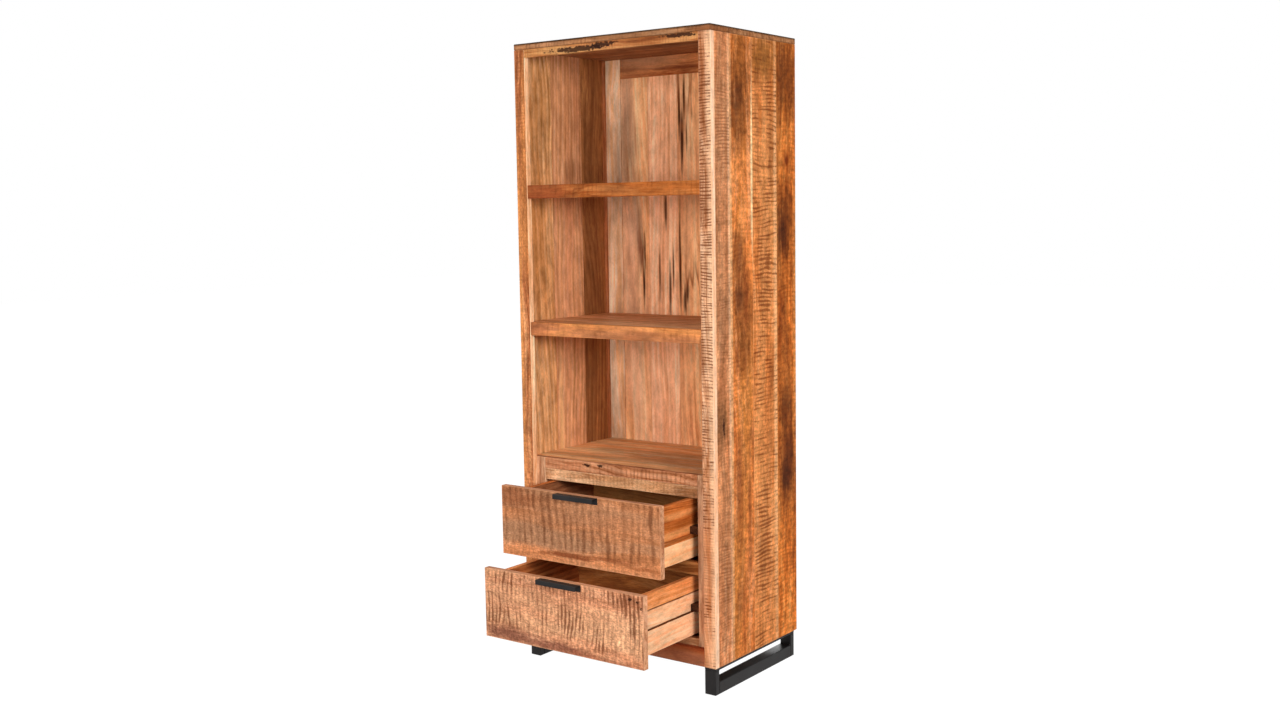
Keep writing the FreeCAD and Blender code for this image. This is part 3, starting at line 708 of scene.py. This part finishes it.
BACK_ARRIS = 0.0009
SPALT_LINE = "#47230f"
ROT_BROWN = "#3d2014"
plain_back = dict(flame=0.2, streak=0.5, fibre=0.4, wave=0.05, tinted=0.5, worn=0.1,
                  relief=0.45, dull=0.46)
back_looks = (
    dict(tones=("#d48b56", "#f2af78", "#f2ce9d"), blotch=0.35, tint="#dcae90",
         patches=front_marks(
             (0.025, 1.47, 0.045, 0.18, "#7a5c46", 0.6),
             (0.060, 1.22, 0.030, 0.13, "#c9a48a", 0.4),
             (0.076, 1.17, 0.011, 0.11, "#8a5a40", 0.9),
             (0.085, 1.12, 0.011, 0.07, "#7a4a30", 1.0),
             (0.096, 1.12, 0.004, 0.07, ROT_BROWN, 1.0),
             (0.092, 1.02, 0.005, 0.08, ROT_BROWN, 1.0))),
    dict(tones=("#d79060", "#faba8d", "#fadcb3"), blotch=0.25, tint="#e2ac88",
         patches=front_marks(
             (0.067, 1.26, 0.0055, 0.06, SPALT_LINE, 0.9),
             (0.041, 1.05, 0.0050, 0.09, SPALT_LINE, 0.8),
             (0.081, 1.01, 0.0060, 0.11, SPALT_LINE, 0.9),
             (0.094, 1.08, 0.0045, 0.08, SPALT_LINE, 0.9))),
    dict(tones=("#bf7446", "#f8b076", "#f8d2a0"), blotch=0.3, tint="#d59b72", spalt=0.7,
         patches=front_marks(
             (0.009, 1.58, 0.0050, 0.09, SPALT_LINE, 1.0),
             (0.019, 1.48, 0.0065, 0.11, SPALT_LINE, 1.0),
             (0.028, 1.61, 0.0050, 0.08, SPALT_LINE, 1.0),
             (0.037, 1.49, 0.0040, 0.07, SPALT_LINE, 0.9),
             (0.007, 1.10, 0.0060, 0.20, SPALT_LINE, 1.0),
             (0.024, 0.97, 0.0080, 0.05, SPALT_LINE, 0.9),
             (0.034, 1.00, 0.0060, 0.04, SPALT_LINE, 0.9)),
         knots=(((0.041, 0.01, 0.60), 0.006), ((0.02, 0.01, 1.52), 0.006))),
    dict(tones=("#d19767", "#fac099", "#fae1c1"), blotch=0.25, tint="#b5805c", spalt=0.9),
    dict(tones=("#c8855f", "#fabd93", "#fad9b2"), blotch=0.3, tint="#b5805c", spalt=0.6),
)
for number, look in enumerate(back_looks, 1):
    node = f"back_board_{number}"
    wood = mango(node + "_wood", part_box(node), "Z", seed=110 + 3 * number, **plain_back, **look)
    lay_board(node, "Z", [wood], 110 + number, BACK_ARRIS)
back_marks_and_shading = {
    "back_left_stile": front_marks((0.050, 1.46, 0.014, 0.10, "#7f5d48", 0.5)),
    # On the top rail, the pale patch at the left is painted light and the dark one at the right is
    # painted shade.
    "back_top_rail": front_marks((0.10, 0.060, 0.16, 0.035, "#b98a66", 0.6),
                                 (0.26, 0.020, 0.10, 0.016, "#6e3018", 0.7)),
}
frame_tones = {"X": ("#84411c", "#b76736", "#dd894e"), "Z": ("#faba81", "#facfa8", "#fae5c4")}
for number, (node, along) in enumerate((("back_left_stile", "Z"), ("back_right_stile", "Z"),
                                        ("back_top_rail", "X"), ("back_bottom_rail", "X"))):
    wood = mango(node + "_wood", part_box(node), along, frame_tones[along], 130 + number,
                 blotch=0.5, worn=0.1, relief=0.5, flame=0.3, tint="#a47655", tinted=0.5,
                 patches=back_marks_and_shading.get(node, ()))
    ease_edges(node, [wood])

# -------------------------------------- inside of the chest
# The floor board, the rear posts and the wooden runners that the drawer sides hang on. They
# are planed and left plainer than the rest. The runners are near black, painted shade for
# the dark gaps beside the drawer boxes.

plain_tones = ("#8a5530", "#b37a4c", "#cd9a6a")
# Near black: painted shade for the dark gaps beside the drawer boxes.
runner_shade_tones = ("#2e1a10", "#472a1a", "#5e3a25")
for number, (node, along) in enumerate((("bottom_board", "X"), ("left_rear_post", "Z"),
                                        ("right_rear_post", "Z"))):
    wood = mango(node + "_wood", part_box(node), along, plain_tones, 140 + number, worn=0.1,
                 blotch=0.1)
    ease_edges(node, [wood])
for number, node in enumerate([f"{drawer}_{side}_runner" for drawer in ("upper", "lower")
                               for side in ("left", "right")]):
    wood = mango(node + "_wood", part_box(node), "Y", runner_shade_tones, 145 + number, worn=0.3,
                 blotch=0.1)
    ease_edges(node, [wood])

# -------------------------------------- drawers
# Each drawer is a thick rough-sawn mango front with a plain box behind it: two sides that
# carry a groove for the runner, a back, and a thin bottom let into grooves. A side is two or
# three narrow planks glued edge to edge.

FRONT_EASING = 0.0014
GLUE_LINE = "#5d3216"
rough_front = dict(flame=0.05, streak=0.2, saw_bow=0.1, worn=0.5)
front_looks = {
    "upper": dict(
        tones=("#814d2f", "#c27c4f", "#edaa7b"), saw=0.75, saw_pitch=0.026, saw_soft=0.6,
        saw_zone=0.15, stroke=4, blotch=0.3, tint="#98765a", tinted=0.6, fibre=0.2, short=6,
        mottle=0.25, speck=0.3,
        missed=front_marks((0.30, 0.0, 3.0, 0.036)),
        patches=front_marks(
            (0.24, 0.026, 0.11, 0.012, "#74391d", 0.85),
            (0.40, 0.032, 0.12, 0.009, "#7e4224", 0.7),
            (0.54, 0.022, 0.06, 0.007, "#8a4c2c", 0.6),
            (0.30, 0.15, 0.40, 0.06, "#8f5f42", 0.3),
            (0.05, 0.18, 0.09, 0.04, "#8a4f30", 0.7))),
    "lower": dict(
        tones=("#844c2e", "#ca8963", "#edb48b"), saw=0.9, saw_pitch=0.015, saw_soft=0.35,
        stroke=14, blotch=0.4, tint="#d9a67c", tinted=0.5, fibre=0.25, short=7, mottle=0.3,
        speck=0.4,
        missed=front_marks((0.05, 0.0, 0.45, 0.040)),
        patches=front_marks(
            (0.54, 0.188, 0.045, 0.014, "#8a5236", 0.6),
            (0.10, 0.020, 0.15, 0.026, "#744434", 0.85),
            (0.28, 0.012, 0.12, 0.022, "#744434", 0.85),
            (0.45, 0.004, 0.20, 0.012, "#8a5038", 0.6)),
        bites=front_marks((0.09, 0.17, 0.06, 0.035), (0.42, 0.185, 0.12, 0.022),
                          (0.54, 0.165, 0.06, 0.035), (0.33, 0.10, 0.05, 0.04)),
        scars=front_marks((0.535, 0.194, 0.012, 0.005), (0.560, 0.188, 0.010, 0.005),
                          (0.574, 0.172, 0.005, 0.007))),
}
upper_bands = side_marks(
    (0.185, 0.066, 3.0, 0.006, "#7c451d", 0.7),
    (0.185, 0.086, 3.0, 0.014, "#efa765", 0.6),
    (0.185, 0.112, 3.0, 0.010, "#9a4f1c", 0.75),
    (0.10, 0.140, 0.12, 0.012, "#f0a968", 0.5), depth=0.008, through=0.02)
lower_lines = side_marks((0.185, 0.0695, 3.0, 0.0030, GLUE_LINE, 1.0),
                         (0.185, 0.1285, 3.0, 0.0034, GLUE_LINE, 1.0), depth=0.008,
                         through=0.02)
side_seams = {"upper": (0.058, ), "lower": (0.069, 0.130)}
side_planks = {
    "upper": (dict(tones=("#f99f61", "#fac08b", "#fad1a2"), streak=0.3, flame=0.15, blotch=0.1),
              dict(tones=("#904215", "#ce7235", "#db9d69"), streak=0.5, flame=0.1, blotch=0.3,
                   patches=upper_bands,
                   knots=(((0.008, 0.043, 0.097), 0.0045), ((0.008, 0.062, 0.112), 0.004)))),
    "lower": (dict(tones=("#fa965e", "#fac091", "#fad7af"), streak=0.25, flame=0.1, blotch=0.12,
                   knots=(((0.008, 0.085, 0.028), 0.006), )),
              dict(tones=("#f79f65", "#fabd8e", "#fadab1"), streak=0.25, flame=0.1, blotch=0.1,
                   patches=lower_lines),
              dict(tones=("#b65e2a", "#eb9254", "#f5b57f"), streak=0.3, flame=0.1, blotch=0.15)),
}
# The insides of the box sides are darker than their outsides, partly painted shade inside the
# boxes, the upper box's most.
inside_tones_and_shade = {"upper": ("#6d3c22", "#935837", "#ad7049"),
               "lower": ("#8f4a22", "#bd6938", "#d08048")}
back_tones = {"upper": ("#855026", "#a46a38", "#b57c48"),
              "lower": ("#96532a", "#bb7038", "#cf8a52")}
for number, drawer in enumerate(("upper", "lower")):
    seed = 160 + 20 * number
    node = f"{drawer}_drawer_front"
    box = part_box(node)
    wood = mango(node + "_wood", box, "X", seed=seed, **rough_front, **front_looks[drawer])
    end = mango(node + "_end", box, "X", ("#a86b47", "#ca8e66", "#dea581"), seed + 1,
                blotch=0.1, worn=0.2)
    ease_edges(node, [wood, end], FRONT_EASING, sides={"+X": 1, "-X": 1, "+Z": 1})
    for side in ("left", "right"):
        node = f"{drawer}_drawer_{side}_side"
        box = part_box(node)
        woods = [mango(f"{node}_plank_{place}", box, "Y", seed=seed + 4 * place + len(side),
                       fibre=0.4, worn=0.3, **look)
                 for place, look in enumerate(side_planks[drawer])]
        woods.append(mango(node + "_inside", box, "Y", inside_tones_and_shade[drawer], seed + 15,
                           blotch=0.2, worn=0.1, relief=0.5))
        ease_edges(node, woods, seams=side_seams[drawer],
                   sides={"+X" if side == "left" else "-X": len(woods) - 1})
    for part in ("back", "bottom"):
        node = f"{drawer}_drawer_{part}"
        wood = mango(node + "_wood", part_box(node), "X", back_tones[drawer],
                     seed + 11 + len(part), worn=0.1, blotch=0.15)
        ease_edges(node, [wood])

# -------------------------------------- pulls and leg frames
# The pulls are folded from 2 mm steel sheet and screwed on from inside the drawer. The leg
# frames are steel bars with a weld in every inner corner. All of it is powder coated a matt
# black with a fine orange peel.

COAT_DARK, COAT_PALE = "#100d0c", "#1c1817"
PEEL_CELLS = 1500.0
PEEL_DEPTH = 0.0002
PULL_EASING = 0.0004
BAR_EASING = 0.0009
WELD_RADIUS = 0.0022


def powder_coat(name):
    coat = bpy.data.materials.new(name)
    coat.use_nodes = True
    tree = coat.node_tree
    surface = tree.nodes["Principled BSDF"]
    position = shade(tree, "TexCoord").outputs["Object"]
    cloud = shade(tree, "TexNoise", {"Vector": position, "Scale": 14.0, "Detail": 3.0})
    peel = shade(tree, "TexNoise", {"Vector": position, "Scale": PEEL_CELLS, "Detail": 2.0})
    colour = paint(tree, spread(tree, cloud.outputs["Fac"], 0.35, 0.65), stain(COAT_DARK),
                   stain(COAT_PALE))
    tree.links.new(colour, surface.inputs["Base Color"])
    tree.links.new(spread(tree, cloud.outputs["Fac"], 0.3, 0.7, 0.42, 0.56),
                   surface.inputs["Roughness"])
    surface.inputs["Specular IOR Level"].default_value = 0.22
    bump = shade(tree, "Bump", {"Height": peel.outputs["Fac"], "Strength": 0.25,
                                "Distance": PEEL_DEPTH})
    tree.links.new(bump.outputs[0], surface.inputs["Normal"])
    return coat


def weld(bm, middle, length, radius, seed):
    """A rippled bead along X in the inner corner of two bars."""
    bead = bmesh.new()
    bmesh.ops.create_cone(bead, cap_ends=True, segments=12, radius1=radius, radius2=radius,
                          depth=length, matrix=Matrix.Rotation(math.pi / 2, 4, "Y"))
    long_edges = [edge for edge in bead.edges if edge.calc_length() > 0.9 * length]
    bmesh.ops.subdivide_edges(bead, edges=long_edges, cuts=24, use_grid_fill=True)
    for vert in bead.verts:
        swell = 1 + 0.16 * math.sin(vert.co.x * 2600 + seed) + 0.2 * noise.noise(vert.co * 300)
        end = max(0.0, 1 - (2 * abs(vert.co.x) / length) ** 8)
        vert.co.yz = vert.co.yz * swell * (0.4 + 0.6 * end)
    for face in bead.faces:
        face.smooth = True
    bmesh.ops.translate(bead, vec=middle, verts=bead.verts)
    join_in(bm, bead)


black_steel = powder_coat("black_powder_coat")
for drawer in ("upper", "lower"):
    ease_edges(f"{drawer}_drawer_pull_handle", [black_steel], PULL_EASING)
for side in ("left", "right"):
    for part in ("front_post", "rear_post", "foot_rail", "top_bar"):
        ease_edges(f"{side}_leg_{part}", [black_steel], BAR_EASING)
    foot_low, foot_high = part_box(f"{side}_leg_foot_rail")
    bar_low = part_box(f"{side}_leg_top_bar")[0]
    welds = bmesh.new()
    for corner, y in enumerate((foot_low.y + WELD_RADIUS / 2, foot_high.y - WELD_RADIUS / 2)):
        for z in (foot_high.z + WELD_RADIUS / 2, bar_low.z - WELD_RADIUS / 2):
            middle = Vector(((foot_low.x + foot_high.x) / 2, y, z))
            weld(welds, middle, (foot_high.x - foot_low.x) * 0.92, WELD_RADIUS, corner + z)
    seams = bpy.data.meshes.new(f"{side}_leg_welds")
    welds.to_mesh(seams)
    welds.free()
    seams.materials.append(black_steel)
    beads = bpy.data.objects.new(f"{side}_leg_welds", seams)
    bpy.context.scene.collection.objects.link(beads)
    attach(beads, "case")

# -------------------------------------- screws
# Cross-slot screws, zinc plated, but black in the pulls. Those of the runners and the pulls
# are sunk flush with the wood, those of the back and the legs have low round heads.

zinc = bpy.data.materials.new("zinc_plate")
zinc.use_nodes = True
plating = zinc.node_tree
zinc_surface = plating.nodes["Principled BSDF"]
zinc_surface.inputs["Metallic"].default_value = 1.0
zinc_noise = shade(plating, "TexNoise", {
    "Scale": 900.0, "Detail": 3.0, "Vector": shade(plating, "TexCoord").outputs["Object"]})
cloud = zinc_noise.outputs["Fac"]
plating.links.new(spread(plating, cloud, 0.3, 0.7, 0.28, 0.42), zinc_surface.inputs["Roughness"])
plating.links.new(paint(plating, cloud, stain("#b4b2a8"), stain("#d2d0c6")),
                  zinc_surface.inputs["Base Color"])


def drive(bm, low, high, way, radius, head, rise, sunk):
    """Add a screw that fills a box, driven the given way, with a cross recess in its head."""
    way = Vector(way)
    axis = max(range(3), key=lambda k: abs(way[k]))
    end = (low + high) / 2
    end[axis] = low[axis] if way[axis] > 0 else high[axis]
    length = (high - low)[axis]
    screw = bmesh.new()
    bmesh.ops.create_cone(screw, cap_ends=True, segments=32, radius1=radius if sunk else head,
                          radius2=head, depth=rise, matrix=Matrix.Translation((0, 0, -rise / 2)))
    top = max(screw.faces, key=lambda face: face.calc_center_median().z)
    if not sunk:
        bmesh.ops.bevel(screw, geom=list(top.edges), offset=rise * 0.45, offset_type="OFFSET",
                        segments=4, profile=0.5, affect="EDGES")
        top = max(screw.faces, key=lambda face: face.calc_center_median().z)
    bmesh.ops.inset_individual(screw, faces=[top], thickness=head * 0.15, depth=0.0)
    for vert in top.verts:
        arm = abs(math.cos(2 * math.atan2(vert.co.y, vert.co.x))) ** 3
        vert.co.xy = vert.co.xy.normalized() * head * (0.16 + 0.42 * arm)
    bmesh.ops.inset_individual(screw, faces=[top], thickness=head * 0.04, depth=-0.55 * rise)
    bmesh.ops.create_cone(screw, cap_ends=True, segments=16, radius1=radius * 0.6, radius2=radius,
                          depth=length - rise,
                          matrix=Matrix.Translation((0, 0, -(length + rise) / 2)))
    turn = Vector((0, 0, 1)).rotation_difference(-way).to_matrix().to_4x4()
    bmesh.ops.transform(screw, matrix=Matrix.Translation(end) @ turn, verts=screw.verts)
    join_in(bm, screw)


def loose_boxes(node):
    """The low and high corners of every separate screw in a node."""
    bm = bmesh.new()
    bm.from_mesh(frame["nodes"][node].data)
    bmesh.ops.remove_doubles(bm, verts=bm.verts, dist=SAME_PLACE)
    left = set(bm.verts)
    boxes = []
    while left:
        island = [left.pop()]
        for vert in island:
            near = {edge.other_vert(vert) for edge in vert.link_edges} & left
            left -= near
            island.extend(near)
        boxes.append([Vector([pick(vert.co[k] for vert in island) for k in range(3)])
                      for pick in (min, max)])
    bm.free()
    return boxes


# The node, the way its screws are driven, their radius, head radius and head height, whether
# the head is sunk, and their metal.
screw_kinds = (
    ("leg_screws", (0, 0, 1), 0.0025, 0.0048, 0.003, False, zinc),
    ("back_screws", (0, -1, 0), 0.002, 0.004, 0.0024, False, zinc),
    ("runner_screws", (1, 0, 0), 0.002, 0.004, 0.0024, True, zinc),
    ("upper_pull_screws", (0, -1, 0), 0.0016, 0.0035, 0.0016, True, black_steel),
    ("lower_pull_screws", (0, -1, 0), 0.0016, 0.0035, 0.0016, True, black_steel),
)
for node, way, radius, head, rise, sunk, metal in screw_kinds:
    bm = bmesh.new()
    for low, high in loose_boxes(node):
        outward = Vector(way) if node != "runner_screws" or low.x > 0 else -Vector(way)
        drive(bm, low, high, outward, radius, head, rise, sunk)
    fit(bm, node + "_cross", [node], [metal])
